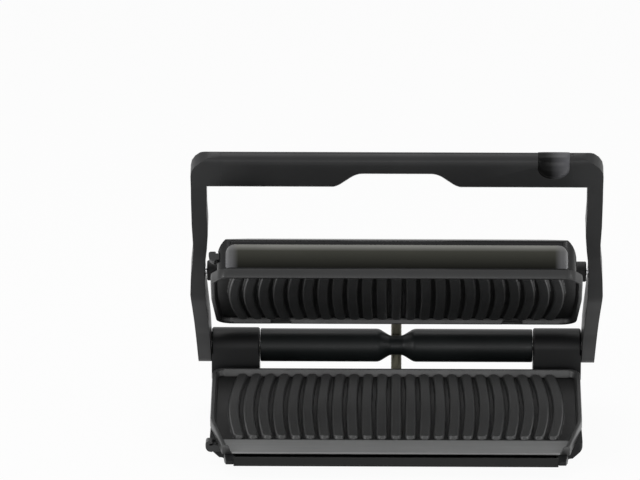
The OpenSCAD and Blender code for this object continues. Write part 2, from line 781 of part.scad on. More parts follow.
function shell_side(w) = rounded([
    [-shell_front + w, shell_low - (w > 0 ? over : 0), 0], [-shell_front + w, shell_top - w, max(6 - w, 0)],
    [-shell_front * 0.55, shell_top + shell_dome - w, 90],
    [shell_back * 0.45, shell_top + shell_dome - w, 90],
    [shell_back - w, shell_top - 2 - w, 8 - w], [shell_back - w, shell_low - (w > 0 ? over : 0), 0]], 7);
function shell_ends(w) =
    let (
        side = shell_half - w,
        crown = shell_half - 46 - w,
        corner_z = shell_top - 1.5 - w,
        crown_z = shell_top + shell_dome + 1 - w
    )
    rounded([
        [side, shell_low - over, 0], [side, corner_z, end_corner_r - w], [crown, crown_z, 0],
        [-crown, crown_z, 0], [-side, corner_z, end_corner_r - w], [-side, shell_low - over, 0]], 8);
function shell_plan(w) =
    let (front_r = max(front_corner_r - w, 2), back_r = max(back_corner_r - w, 2))
    rounded([
        [shell_half - w, shell_back - w, back_r], [shell_half - w, -shell_front + w, front_r],
        [w - shell_half, -shell_front + w, front_r], [w - shell_half, shell_back - w, back_r]], 7);
module shell_body(w) {
    intersection() {
        side_slab(shell_side(w), -shell_half, shell_half);
        front_slab(shell_ends(w), -shell_front, shell_back);
        plan_slab(shell_plan(w), shell_low - over, beyond);
    }
}
// Space of the steel front panel, which follows the shell's front corners
module panel_cut(extra) {
    half = panel_half + extra;
    low = panel_low - extra;
    high = panel_low + panel_h + extra;
    difference() {
        front_slab(rounded([[half, low, 2], [half, high, 10], [-half, high, 10], [-half, low, 2]], 5),
            -shell_front - over, -shell_front + panel_bend);
        plan_slab(shell_plan(panel_t), -beyond, beyond);
    }
}
module lid_shell() {
    slot = lever_half + seat_gap;
    pocket = lever_half + pocket_gap;
    color("#1f2021") in_lid() difference() {
        shell_body(0);
        shell_body(wall + panel_t);
        panel_cut(fit_gap);
        box(-case_half, lever_reach - 4 - shell_half, lid_lever_y - slot, lid_lever_y + slot,
            lid_lever_z - lid_tongue - seat_gap, lid_lever_z + lid_tongue + seat_gap);
        box(-case_half, hook_pocket - shell_half, lid_lever_y - pocket, lid_lever_y + pocket,
            lid_lever_z - hook_h / 2 - pocket_gap, lid_lever_z + hook_h / 2 + pocket_gap);
        translate([0, shell_back - 8, lid_gland_z]) rotate([-90, 0, 0])
            cylinder(h = beyond, r = conduit_r + wall);
        difference() {
            box(-top_panel_half, top_panel_half, top_panel_front, top_panel_back, 0, beyond);
            top_skin();
        }
        both() box(shell_half - 14 - seat_gap, shell_half + 8, -boss_r - seat_gap, boss_r + seat_gap,
            shell_low - over, boss_r + seat_gap);
    }
}
// Space under the top panel's seat
module top_skin() {
    side_slab(rounded([[-shell_front + 4, 0, 0], [-shell_front + 4, shell_top - panel_t, 4],
        [-shell_front * 0.55, shell_top + shell_dome - panel_t - 0.1, 90],
        [shell_back * 0.45, shell_top + shell_dome - panel_t - 0.1, 90],
        [shell_back - 4, shell_top - 2 - panel_t, 4], [shell_back - 4, 0, 0]], 7), -shell_half, shell_half);
}

module top_panel() {
    color("#8f9192") in_lid() difference() {
        intersection() {
            side_slab(shell_side(0), -shell_half, shell_half);
            box(fit_gap - top_panel_half, top_panel_half - fit_gap, top_panel_front + fit_gap,
                top_panel_back - fit_gap, 0, beyond);
        }
        top_skin();
    }
}

module front_panel() {
    color("#6f6d66") in_lid() intersection() {
        panel_cut(0);
        plan_slab(shell_plan(0), -beyond, beyond);
    }
}

module lid_frame() {
    color("#242526") in_lid() difference() {
        union() {
            difference() {
                plan_slab(shell_plan(wall + panel_t + seat_gap), shell_low, shell_low + frame_t);
                plan_slab(rounded([[frame_in, frame_y0, 4], [frame_in, frame_y1, 4],
                    [-frame_in, frame_y1, 4], [-frame_in, frame_y0, 4]]),
                    shell_low - over, shell_low + frame_t + over);
            }
            both() {
                x_barrel(shell_half - 10, boss_out, boss_r - 0.5, 1);
                box(shell_half - 14, shell_half - 5, -boss_r, boss_r, shell_low, boss_r - 8);
            }
        }
        both() x_bar(boss_in, boss_out + over, pin_r + shaft_play);
        for (x = [-1, 1], y = frame_screw_y) translate([x * frame_screw_x, y, shell_low - over])
            cylinder(h = frame_t + 2 * over, r = screw_r + fit_gap);
        translate([0, lid_lever_y, lid_lever_z])
            box(-shell_half, lever_reach + 4 - shell_half, -lever_half - over, lever_half + over,
                -lid_tongue - over, lid_tongue + over);
    }
}
module lid_screws() {
    color("silver") in_lid() for (x = [-1, 1], y = frame_screw_y)
        translate([x * frame_screw_x, y, shell_low]) {
            cylinder(h = screw_len, r = screw_r);
            translate([0, 0, frame_t]) cylinder(h = head_h, r = head_r);
        }
}

module conduit_gland_lid() {
    color("#202224") in_lid() translate([0, shell_back, lid_gland_z]) rotate([-90, 0, 0]) difference() {
        translate([0, 0, -8]) cylinder(h = 8.5, r = conduit_r + wall - fit_gap);
        translate([0, 0, -5]) cylinder(h = beyond, r = conduit_r + 2 * seat_gap);
        translate([0, 0, -beyond]) cylinder(h = 2 * beyond, r = wire_hole_r);
    }
}

// ---- Plates and heaters ----

// Outline of one rib: its middle runs x from the plate's middle and draws in towards both ends
function rib_x(x, v) = x * (1 - rib_bow / 100 * v * v);
function rib_edge(v) = abs(v) == 1 ? rib_t * 0.3 : rib_t / 2;
function rib_plan(x, y0, y1) =
    let (mid = (y0 + y1) / 2, half = (y1 - y0) / 2, k = len(rib_v) - 1)
    concat(
        [for (v = rib_v) [rib_x(x, v) + rib_edge(v), mid + half * v]],
        [for (i = [k : -1 : 0]) [rib_x(x, rib_v[i]) - rib_edge(rib_v[i]), mid + half * rib_v[i]]]);
module ribs(half, y0, y1, z0, z1) {
    n = floor((half - rib_t) / rib_pitch);
    for (i = [-n : n]) plan_slab(rib_plan(i * rib_pitch, y0, y1), z0, z1);
}

function lower_plan(w) = rounded([
    [lower_half - w, -w, corner_r], [lower_half - plate_taper - w, -rib_end + 50, 60],
    [lip_half + 16 - w, -rib_end - lip_len - 2, 6], [-lip_half - 16 + w, -rib_end - lip_len - 2, 6],
    [plate_taper - lower_half + w, -rib_end + 50, 60], [w - lower_half, -w, corner_r]], 6);
module lower_plate() {
    color("#3a3b3b") in_plate() difference() {
        union() {
            difference() {
                plan_slab(lower_plan(0), -rim_h, 0);
                plan_slab(lower_plan(rim_t), -plate_sink, over);
                box(-lip_half, lip_half, -plate_len - 10, -rib_end - 4, -plate_sink, over);
            }
            box(8 - lip_half, lip_half - 8, 4 - rib_end, -rib_start - 4,
                -plate_sink - plate_t, -rim_h + 0.5);
            ribs(lower_half - rim_t - 4, -rib_end, -rib_start, -plate_sink - 0.5, rib_h - plate_sink);
        }
        box(-lip_half - 30, lip_half + 30, -plate_len - 30, -rib_end - lip_len, -rim_h - over, over);
    }
}

// The upper plate's sides bow out in the middle, and it is cut off at its front corners
function upper_plan(w) =
    let (back = upper_half - back_bow - w, front = upper_half - front_bow - w)
    let (cut = front - 14 + w * 0.6)
    rounded([
        [back, lid_back - w, upper_corner_r - w], [upper_half - w, 0, 300], [front, -lid_front + 18, 8],
        [cut, -lid_front + w, 8], [-cut, -lid_front + w, 8], [-front, -lid_front + 18, 8],
        [w - upper_half, 0, 300], [-back, lid_back - w, upper_corner_r - w]], 7);
module upper_outline(w) {
    plan_slab(upper_plan(w), -lid_under + (w > 0 ? -over : 0),
        w > 0 ? -lid_under + plate_sink - 1.5 : plate_top);
}
module upper_plate() {
    color("#333434") in_lid() difference() {
        union() {
            difference() {
                upper_outline(0);
                upper_outline(rim_t);
            }
            ribs(upper_half - rim_t - 4, -lid_front + 10, lid_back - 10, -lid_under + 2.6,
                -lid_under + plate_sink - 1);
        }
        for (x = [-133, 133]) box(x - 11.5, x + 11.5, lid_back - 6, lid_back + over,
            -lid_under - over, -lid_under + 2.3);
    }
}

// Heating tube: four runs along X joined by half rings
module heater_run() {
    for (i = [0 : 3]) translate([0, -i * heater_pitch, 0]) x_bar(-heater_half, heater_half, heater_r);
    for (i = [0, 2]) translate([heater_half, -(i + 0.5) * heater_pitch, 0]) rotate([0, 0, -90])
        rotate_extrude(angle = 180) translate([heater_pitch / 2, 0]) circle(heater_r, $fn = 32);
    translate([-heater_half, -1.5 * heater_pitch, 0]) rotate([0, 0, 90])
        rotate_extrude(angle = 180) translate([heater_pitch / 2, 0]) circle(heater_r, $fn = 32);
    for (i = [0, 3]) translate([-heater_half - 14, -i * heater_pitch, 0]) x_bar(0, 16, heater_r - 1);
}
module reflector(len, z0, lip) {
    box(-reflector_half, reflector_half, -len, -reflector_start, z0, z0 + sheet_t);
    for (x = [-reflector_half, reflector_half - sheet_t])
        box(x, x + sheet_t, -len, -reflector_start, min(z0, z0 + lip), max(z0, z0 + lip));
}
module lower_heater() { color("#5b5148") in_plate() translate([0, -24, -heater_drop]) heater_run(); }
module lower_reflector() {
    color("silver") in_plate()
        reflector(reflector_len, -heater_drop - heater_r - seat_gap - sheet_t, 5);
}
module upper_heater() {
    color("#5b5148") in_lid() translate([0, lid_back - 30, upper_heater_z]) heater_run();
}
module upper_reflector() {
    color("silver") in_lid() difference() {
        translate([0, lid_reflector_y, 0])
            reflector(reflector_len, upper_heater_z + heater_r + seat_gap, -5);
        for (x = [-1, 1], y = frame_screw_y) translate([x * frame_screw_x, y, -beyond])
            cylinder(h = 2 * beyond, r = head_r + 1);
    }
}

module thermostat() {
    color("#b9a06a") in_plate() translate([0, -24 - heater_pitch * 1.5, 0]) {
        translate([0, 0, -plate_sink - plate_t - seat_gap - 5]) cylinder(h = 5, r = 8);
        box(-2.4, 2.4, -1, 1, -plate_sink - plate_t - seat_gap - 6.4, -plate_sink - plate_t - seat_gap - 5);
    }
}

module power_board() {
    color("#1f5a36") at_hinge() {
        low = case_floor + cover_t;
        top = low + power_peg_h + board_t;
        box(power_board[0], power_board[1], power_board[2], power_board[3], low + power_peg_h, top);
        for (x = power_peg_x, y = power_peg_y)
            translate([x, y, low]) cylinder(h = power_peg_h + sink, r = 2.5);
        for (x = relay_x) box(x, x + relay.x, -20, relay.y - 20, top - sink, top + relay.z);
    }
}

// ---- Moving small pieces ----

module drip_tray() {
    color("#3c3d3c") at_hinge() difference() {
        union() {
            box(-tray_half, tray_half, -front_reach + 3, -tray_back, tray_low, tray_top);
            side_slab([[-front_reach, tray_lip_z], [-front_reach + tray_nose, tray_low],
                [-front_reach + tray_nose, tray_lip_z],
                [-front_reach + tray_wall + 1, tray_lip_z + tray_front_h],
                [-front_reach, tray_lip_z + tray_front_h]], -tray_half, tray_half);
        }
        box(-tray_half + tray_wall, tray_half - tray_wall, -front_reach + tray_nose, -tray_back - tray_wall,
            tray_low + tray_wall, tray_top + over);
    }
}

// Thumb hook open towards the body
module hook(h, half) {
    top = h / 2 - hook_t;
    front_slab(rounded([[0, -h / 2, 6], [0, h / 2, 2.5], [hook_w, h / 2, 1], [hook_w, top, 1],
        [hook_w / 2, top, 2], [hook_w / 2, 0, 0], [hook_w, 0, 0], [hook_w, -h / 2, 1]], 4), -half, half);
}
module lower_lever() {
    color("#3a3c3d") at_hinge() translate([0, lever_y, lever_z]) {
        box(-case_half - 0.5, lever_reach - case_half, -lever_half, lever_half, tongue_low, tongue_high);
        translate([-case_half - 4, 0, 1.5]) hook(12, lever_half);
    }
}
module upper_lever() {
    color("#3a3c3d") in_lid() translate([0, lid_lever_y, lid_lever_z]) {
        box(-shell_half - hook_stand + hook_w / 2, lever_reach - 7 - shell_half, -lever_half, lever_half,
            -lid_tongue, lid_tongue);
        translate([-shell_half - hook_stand, 0, 0]) hook(hook_h, lever_half);
    }
}

// ---- Conduit ----

// Ring of points across the route at point i
function ring(p, i) =
    let (
        k = len(p) - 1,
        before = unit(p[max(i, 1)] - p[max(i, 1) - 1]),
        after = unit(p[min(i, k - 1) + 1] - p[min(i, k - 1)]),
        d = unit(before + after),
        up = [-d.y, d.x]
    )
    [for (j = [0 : hose_sides - 1])
        let (c = conduit_r * cos(360 * j / hose_sides), s = conduit_r * sin(360 * j / hose_sides))
        [c, p[i].x + s * up.x, p[i].y + s * up.y]];
module hose(p) {
    k = len(p) - 1;
    rings = [for (i = [0 : k]) each ring(p, i)];
    skin = [for (i = [0 : k - 1], j = [0 : hose_sides - 1])
        let (a = i * hose_sides + j, b = i * hose_sides + (j + 1) % hose_sides)
        each [[a, a + hose_sides, b], [b, a + hose_sides, b + hose_sides]]];
    ends = [[for (j = [0 : hose_sides - 1]) j], [for (j = [hose_sides - 1 : -1 : 0]) k * hose_sides + j]];
    polyhedron(rings, concat(skin, ends));
}
module conduit_lower() { color("#6b6a5e") at_hinge() hose(lower_route); }
module conduit_upper() { color("#6b6a5e") at_hinge() hose(upper_route); }

base_shell();
base_cover();
tower_left();
tower_right();
bush_left();
bush_right();
lower_heater();
lower_reflector();
thermostat();
power_board();
cord_gland();
conduit_gland_base();
feet();
base_screws();
lower_plate();
drip_tray();
lower_lever();
arm_left();
arm_right();
crossbar();
bar_cover_panel();
dial_cup();
control_board();
cross_tube();
hinge_shaft();
pivot_pin_left();
pivot_pin_right();
bar_screws();
power_key();
key_1();
key_2();
key_3();
key_4();
ok_key();
indicator_ring();
lid_shell();
front_panel();
top_panel();
lid_frame();
upper_heater();
upper_reflector();
conduit_gland_lid();
lid_screws();
upper_plate();
upper_lever();
conduit_lower();
conduit_upper();
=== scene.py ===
"""Looks of an electric contact grill: finishes, rounded edges and fine parts round its fixed CAD frame."""
import json
import math

import bmesh
import bpy
import numpy as np
from mathutils import Matrix, Vector


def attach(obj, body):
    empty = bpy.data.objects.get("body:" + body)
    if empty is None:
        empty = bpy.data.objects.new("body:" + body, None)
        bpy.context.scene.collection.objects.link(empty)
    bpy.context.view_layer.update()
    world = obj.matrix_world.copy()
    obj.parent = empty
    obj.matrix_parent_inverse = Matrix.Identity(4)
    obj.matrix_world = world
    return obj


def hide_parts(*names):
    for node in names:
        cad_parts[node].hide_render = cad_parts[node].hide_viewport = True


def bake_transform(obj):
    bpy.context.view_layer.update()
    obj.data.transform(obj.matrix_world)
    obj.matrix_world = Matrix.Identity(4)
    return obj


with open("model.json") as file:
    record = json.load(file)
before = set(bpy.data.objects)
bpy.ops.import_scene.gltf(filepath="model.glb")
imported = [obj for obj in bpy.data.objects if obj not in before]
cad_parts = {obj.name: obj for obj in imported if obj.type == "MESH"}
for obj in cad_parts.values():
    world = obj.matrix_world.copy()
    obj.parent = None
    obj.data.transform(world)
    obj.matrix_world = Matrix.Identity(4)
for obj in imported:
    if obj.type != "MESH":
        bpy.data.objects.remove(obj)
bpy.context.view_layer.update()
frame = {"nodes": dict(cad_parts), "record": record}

MM = 0.001
scene = bpy.context.scene
nodes = frame["nodes"]
record = frame["record"]
node_body = {n: b for b, names in record["behaviour"]["bodies"].items() for n in names}
node_slot = {s["node"]: s["material_slot"] for s in record["subparts"]}

# Frames: the handle's hinge line, the handle, the lid's pivot and the lower plate's rim
HINGE = Vector((0.0, 0.1255, 0.075))
HANDLE_ANGLE = math.radians(55)
LID_LAG = math.radians(27)
PLATE_SLOPE = math.radians(7)
HANDLE = Matrix.Translation(HINGE) @ Matrix.Rotation(-HANDLE_ANGLE, 4, "X")
PIVOT_S = 152.5
PIVOT_Z = -17.6
LID = HANDLE @ Matrix.Translation((0, -PIVOT_S * MM, PIVOT_Z * MM)) @ Matrix.Rotation(LID_LAG, 4, "X")
PLATE = Matrix.Translation(HINGE + Vector((0, -35 * MM, -18 * MM))) @ Matrix.Rotation(PLATE_SLOPE, 4, "X")


# ---- Camera, light and floor ----

# The photograph was taken from far away, a little above the grill
CAMERA_DISTANCE = 6.225
CAMERA_ELEVATION = math.radians(15)
CAMERA_PITCH = math.radians(14.193)
CAMERA_YAW = math.radians(-0.82)
LENS_MM = 310.84
LOOK_FROM = Vector((0.0, -0.0145, 0.145))


def make_camera():
    data = bpy.data.cameras.new("camera")
    data.lens = LENS_MM
    data.sensor_width = 36
    camera = bpy.data.objects.new("camera", data)
    back = Vector((0, -math.cos(CAMERA_ELEVATION), math.sin(CAMERA_ELEVATION)))
    camera.location = LOOK_FROM + CAMERA_DISTANCE * back
    camera.rotation_euler = (math.pi / 2 - CAMERA_PITCH, 0, -CAMERA_YAW)
    scene.collection.objects.link(camera)
    scene.camera = camera


def area_light(name, place, aim, size, power, tint=(1, 1, 1)):
    data = bpy.data.lights.new(name, "AREA")
    data.shape = "RECTANGLE"
    data.size, data.size_y = size
    data.energy = power
    data.color = tint
    lamp = bpy.data.objects.new(name, data)
    lamp.location = place
    lamp.rotation_euler = (Vector(aim) - Vector(place)).to_track_quat("-Z", "Y").to_euler()
    scene.collection.objects.link(lamp)


def make_light():
    world = bpy.data.worlds.new("studio")
    scene.world = world
    world.use_nodes = True
    tree = world.node_tree
    background = tree.nodes["Background"]
    background.inputs["Color"].default_value = (1, 1, 1, 1)
    seen = seen_directly(tree)
    level = math_node(tree, "MULTIPLY_ADD", seen, 0.66, 0.34)
    tree.links.new(level, background.inputs["Strength"])
    area_light("overhead", (-0.4, 0.2, 2.3), (0, -0.05, 0.1), (2.2, 1.2), 17)
    area_light("front_left", (-2.6, -2.0, 0.9), (0, -0.05, 0.2), (0.6, 1.8), 30)
    area_light("front_low", (0.4, -3.2, 0.35), (0, -0.05, 0.2), (2.4, 0.6), 16)
    area_light("right", (2.5, -1.3, 1.2), (0, 0, 0.2), (0.5, 1.6), 16)


def seen_directly(tree):
    """1 for camera, glossy and transmission rays, else 0."""
    path = tree.nodes.new("ShaderNodeLightPath")
    first = math_node(tree, "MAXIMUM", path.outputs["Is Camera Ray"], path.outputs["Is Glossy Ray"])
    return math_node(tree, "MAXIMUM", first, path.outputs["Is Transmission Ray"])


def make_floor():
    mesh = bpy.data.meshes.new("floor")
    reach = 12.0
    corners = [(-reach, -reach, 0), (reach, -reach, 0), (reach, reach, 0), (-reach, reach, 0)]
    mesh.from_pydata(corners, [], [(0, 1, 2, 3)])
    floor = bpy.data.objects.new("floor", mesh)
    scene.collection.objects.link(floor)
    material = bpy.data.materials.new("floor")
    material.use_nodes = True
    tree = material.node_tree
    shader = tree.nodes["Principled BSDF"]
    shader.inputs["Base Color"].default_value = (0.86, 0.86, 0.86, 1)
    shader.inputs["Roughness"].default_value = 0.9
    shader.inputs["Specular IOR Level"].default_value = 0.1
    glow = tree.nodes.new("ShaderNodeEmission")
    glow.inputs["Strength"].default_value = 1.0
    mix = tree.nodes.new("ShaderNodeMixShader")
    share = math_node(tree, "MULTIPLY", seen_directly(tree), 0.95)
    tree.links.new(share, mix.inputs[0])
    tree.links.new(shader.outputs[0], mix.inputs[1])
    tree.links.new(glow.outputs[0], mix.inputs[2])
    tree.links.new(mix.outputs[0], tree.nodes["Material Output"].inputs["Surface"])
    mesh.materials.append(material)


# ---- Shader building blocks ----

def plug(tree, socket, value):
    """Set an input to a constant, or link it to an output."""
    if isinstance(value, (int, float, tuple)):
        socket.default_value = value
    else:
        tree.links.new(value, socket)


def math_node(tree, operation, *values):
    node = tree.nodes.new("ShaderNodeMath")
    node.operation = operation
    for socket, value in zip(node.inputs, values):
        plug(tree, socket, value)
    return node.outputs[0]


def place(tree, stretch=(1, 1, 1), turn=(0, 0, 0)):
    """Object coordinates, stretched and turned."""
    where = tree.nodes.new("ShaderNodeTexCoord")
    mapping = tree.nodes.new("ShaderNodeMapping")
    mapping.inputs["Scale"].default_value = stretch
    mapping.inputs["Rotation"].default_value = turn
    tree.links.new(where.outputs["Object"], mapping.inputs["Vector"])
    return mapping.outputs["Vector"]


def reach_along(tree, matrix, axis):
    """Distance in mm along an axis of a frame, for gradients over a piece."""
    where = tree.nodes.new("ShaderNodeTexCoord")
    dot = tree.nodes.new("ShaderNodeVectorMath")
    dot.operation = "DOT_PRODUCT"
    direction = (matrix.to_3x3() @ Vector(axis)).normalized()
    tree.links.new(where.outputs["Object"], dot.inputs[0])
    dot.inputs[1].default_value = tuple(direction / MM)
    return math_node(tree, "SUBTRACT", dot.outputs["Value"], direction.dot(matrix.translation) / MM)


def attribute(tree, name):
    node = tree.nodes.new("ShaderNodeAttribute")
    node.attribute_name = name
    return node.outputs["Fac"]


def noise(tree, scale, detail=2.0, rough=0.5, vector=None):
    node = tree.nodes.new("ShaderNodeTexNoise")
    node.inputs["Scale"].default_value = scale
    node.inputs["Detail"].default_value = detail
    node.inputs["Roughness"].default_value = rough
    tree.links.new(vector or place(tree), node.inputs["Vector"])
    return node.outputs["Fac"]


def ramp(tree, value, low, high, out_low=0.0, out_high=1.0):
    """Map value from low..high to out_low..out_high, clamped."""
    node = tree.nodes.new("ShaderNodeMapRange")
    for socket, number in zip(list(node.inputs)[1:5], (low, high, out_low, out_high)):
        socket.default_value = number
    tree.links.new(value, node.inputs["Value"])
    return node.outputs["Result"]


def blend_colour(tree, share, first, second):
    node = tree.nodes.new("ShaderNodeMix")
    node.data_type = "RGBA"
    plug(tree, node.inputs["Factor"], share)
    plug(tree, node.inputs["A"], first)
    plug(tree, node.inputs["B"], second)
    return node.outputs["Result"]


def bump(tree, height, distance, strength=1.0, under=None):
    node = tree.nodes.new("ShaderNodeBump")
    node.inputs["Strength"].default_value = strength
    node.inputs["Distance"].default_value = distance
    tree.links.new(height, node.inputs["Height"])
    if under:
        tree.links.new(under, node.inputs["Normal"])
    return node.outputs["Normal"]


def soft_edges(tree, radius):
    """Normals that run round every edge, as on a moulded or folded piece."""
    node = tree.nodes.new("ShaderNodeBevel")
    node.samples = 6
    node.inputs["Radius"].default_value = radius * MM
    return node.outputs[0]


def edge_mask(tree, radius):
    """Rises to 1 on edges sharper than the radius: where a finish wears first."""
    bevel = tree.nodes.new("ShaderNodeBevel")
    bevel.samples = 4
    bevel.inputs["Radius"].default_value = radius
    shape = tree.nodes.new("ShaderNodeNewGeometry")
    dot = tree.nodes.new("ShaderNodeVectorMath")
    dot.operation = "DOT_PRODUCT"
    tree.links.new(bevel.outputs[0], dot.inputs[0])
    tree.links.new(shape.outputs["Normal"], dot.inputs[1])
    return ramp(tree, dot.outputs["Value"], 0.995, 0.90)


def colour(values):
    return (*values, 1.0)


def shaded(base, share):
    """A colour made lighter or darker by a share."""
    return colour(tuple(v * share for v in base))


def new_material(name):
    material = bpy.data.materials.new(name)
    material.use_nodes = True
    tree = material.node_tree
    return material, tree, tree.nodes["Principled BSDF"]


# ---- Finishes ----

def plastic(name, base, rough, gloss, grain=2200, grain_depth=0.03, wear_and_painted_light=1.6, edge=0.6, mottle=0.25):
    """Moulded plastic: fine spark-eroded grain, faint handling marks, slightly polished edges."""
    material, tree, shader = new_material(name)
    cloudy = noise(tree, 14, 4)
    specks = noise(tree, 900, 2)
    rubbed = math_node(tree, "MULTIPLY", edge_mask(tree, edge * MM), noise(tree, 60, 3))
    dark = shaded(base, 1 - mottle)
    light = shaded(base, 1 + mottle)
    body = blend_colour(tree, ramp(tree, cloudy, 0.3, 0.7), dark, light)
    flecked = blend_colour(tree, ramp(tree, specks, 0.62, 0.75, 0, 0.25), body, shaded(base, 1.8))
    edged = blend_colour(tree, rubbed, flecked, shaded(base, wear_and_painted_light))
    tree.links.new(edged, shader.inputs["Base Color"])
    smear = noise(tree, 30, 5, 0.6, place(tree, (0.4, 1, 1)))
    tree.links.new(ramp(tree, smear, 0.25, 0.75, rough - 0.05, rough + 0.06), shader.inputs["Roughness"])
    shader.inputs["Specular IOR Level"].default_value = gloss
    relief = bump(tree, noise(tree, grain, 3), grain_depth * MM, 0.35, soft_edges(tree, edge * 1.5))
    tree.links.new(bump(tree, noise(tree, 18, 1), 0.25 * MM, 0.25, relief), shader.inputs["Normal"])
    return material


def brushed(name, base, rough, along=(1, 60, 60), lines=160, metallic=1.0, stain=0.35):
    """Brushed sheet metal: long fine scratches, a few deeper ones, cloudy tarnish."""
    material, tree, shader = new_material(name)
    scratches = noise(tree, lines, 4, 0.65, place(tree, along))
    deep = noise(tree, lines * 0.35, 2, 0.5, place(tree, along))
    cloudy = noise(tree, 9, 3)
    body = blend_colour(tree, scratches, shaded(base, 0.82), shaded(base, 1.18))
    marked = blend_colour(tree, ramp(tree, deep, 0.6, 0.72, 0, 0.5), body, shaded(base, 1.35))
    stained = blend_colour(tree, ramp(tree, cloudy, 0.4, 0.75, 0, stain), marked, shaded(base, 0.7))
    tree.links.new(stained, shader.inputs["Base Color"])
    tree.links.new(ramp(tree, scratches, 0.2, 0.8, rough - 0.06, rough + 0.08), shader.inputs["Roughness"])
    shader.inputs["Metallic"].default_value = metallic
    tree.links.new(bump(tree, scratches, 0.02 * MM, 0.3, soft_edges(tree, 0.4)), shader.inputs["Normal"])
    return material


def coated(name, base, rough, gloss, groove_shade, lip_reflection=1.0):
    """Non-stick coating on cast aluminium: pebbled, with pale specks and rubbed ridges, and painted shade in
    the grooves.
    The groove share is the colour left at the bottom, as painted shade, and the lip share brightens the drain
    lip as a painted reflection."""
    material, tree, shader = new_material(name)
    pebble = noise(tree, 1100, 3, 0.6)
    specks = noise(tree, 2600, 1)
    cloudy = noise(tree, 11, 4)
    body = blend_colour(tree, ramp(tree, cloudy, 0.3, 0.7), shaded(base, 0.8),
                        shaded(base, 1.2))
    speckled = blend_colour(tree, ramp(tree, specks, 0.66, 0.74, 0, 0.5), body, shaded(base, 3))
    ridge = math_node(tree, "MULTIPLY", edge_mask(tree, 1.0 * MM), noise(tree, 90, 4))
    edged = blend_colour(tree, ridge, speckled, shaded(base, 2.2))
    streaks = noise(tree, 50, 3, 0.6, place(tree, (0.25, 4, 4)))
    # Painted reflection: the drain lip is made many times lighter, with streaks, as if it mirrored a bright
    # backdrop.
    lip = blend_colour(tree, streaks, shaded(base, lip_reflection * 0.85),
                       shaded(base, lip_reflection * 1.15))
    lipped = blend_colour(tree, attribute(tree, "lip"), edged, lip)
    # Painted shade: the colour falls to the groove share where the surface sinks between the ribs.
    deep = blend_colour(tree, attribute(tree, "rise"), shaded(base, groove_shade), lipped)
    tree.links.new(deep, shader.inputs["Base Color"])
    wipe = noise(tree, 25, 5, 0.6, place(tree, (1, 0.3, 1)))
    tree.links.new(ramp(tree, wipe, 0.25, 0.75, rough - 0.07, rough + 0.07), shader.inputs["Roughness"])
    shader.inputs["Specular IOR Level"].default_value = gloss
    fine = bump(tree, pebble, 0.04 * MM, 0.5)
    tree.links.new(bump(tree, noise(tree, 160, 2), 0.12 * MM, 0.25, fine), shader.inputs["Normal"])
    return material


def dial_plastic(name):
    """Plastic of the dial's housing. Its gradient stands in for a studio light from the right."""
    material, tree, shader = new_material(name)
    across = reach_along(tree, HANDLE, (1, 0, 0))
    # Painted light: the housing goes from near black on its left to lighter grey on its right, as if lit from
    # the right.
    wear_and_painted_light = blend_colour(tree, ramp(tree, across, 170, 188), colour((0.0030, 0.0030, 0.0030)),
                        colour((0.085, 0.085, 0.092)))
    specked = blend_colour(tree, ramp(tree, noise(tree, 900, 2), 0.62, 0.75, 0, 0.2), wear_and_painted_light,
                           colour((0.03, 0.03, 0.03)))
    tree.links.new(specked, shader.inputs["Base Color"])
    tree.links.new(ramp(tree, noise(tree, 30, 5), 0.25, 0.75, 0.28, 0.4), shader.inputs["Roughness"])
    tree.links.new(ramp(tree, across, 164, 182, 0.06, 0.26), shader.inputs["Specular IOR Level"])
    tree.links.new(bump(tree, noise(tree, 2200, 3), 0.03 * MM, 0.3), shader.inputs["Normal"])
    return material


def lid_steel(name):
    """Brushed steel of the lid. Its gradients stand in for the studio's reflections: dark towards the
    lower edge, light along the top bend and at both ends."""
    material, tree, shader = new_material(name)
    scratches = noise(tree, 160, 4, 0.65, place(tree, (1, 60, 60)))
    cloudy = noise(tree, 9, 3)
    height = reach_along(tree, LID, (0, 0, 1))
    falling = blend_colour(tree, ramp(tree, height, -21.5, -3), colour((0.010, 0.010, 0.0085)),
                           colour((0.050, 0.050, 0.042)))
    crowned = blend_colour(tree, ramp(tree, height, -3, 2.5), falling, colour((0.22, 0.22, 0.205)))
    across = math_node(tree, "ABSOLUTE", reach_along(tree, LID, (1, 0, 0)))
    ended = blend_colour(tree, ramp(tree, across, 176, 183, 0, 0.55), crowned, colour((0.17, 0.17, 0.18)))
    lined = blend_colour(tree, ramp(tree, scratches, 0.3, 0.7, 0, 0.22), ended, colour((0.008, 0.008, 0.007)))
    stained = blend_colour(tree, ramp(tree, cloudy, 0.45, 0.75, 0, 0.15), lined, colour((0.02, 0.02, 0.017)))
    tree.links.new(stained, shader.inputs["Base Color"])
    tree.links.new(ramp(tree, scratches, 0.2, 0.8, 0.28, 0.42), shader.inputs["Roughness"])
    shader.inputs["Metallic"].default_value = 1.0
    tree.links.new(bump(tree, scratches, 0.02 * MM, 0.3, soft_edges(tree, 0.4)), shader.inputs["Normal"])
    return material


def heated(name, base):
    """Sheathed heating tube: dull metal with blue-brown heat tints."""
    material, tree, shader = new_material(name)
    tint = noise(tree, 28, 3)
    body = blend_colour(tree, ramp(tree, tint, 0.35, 0.65), colour(base), colour((0.10, 0.085, 0.11)))
    spots = blend_colour(tree, ramp(tree, noise(tree, 240, 3), 0.6, 0.75, 0, 0.6), body,
                         colour((0.28, 0.17, 0.08)))
    tree.links.new(spots, shader.inputs["Base Color"])
    shader.inputs["Metallic"].default_value = 0.8
    tree.links.new(ramp(tree, tint, 0.2, 0.8, 0.38, 0.6), shader.inputs["Roughness"])
    tree.links.new(bump(tree, noise(tree, 900, 2), 0.03 * MM, 0.5), shader.inputs["Normal"])
    return material


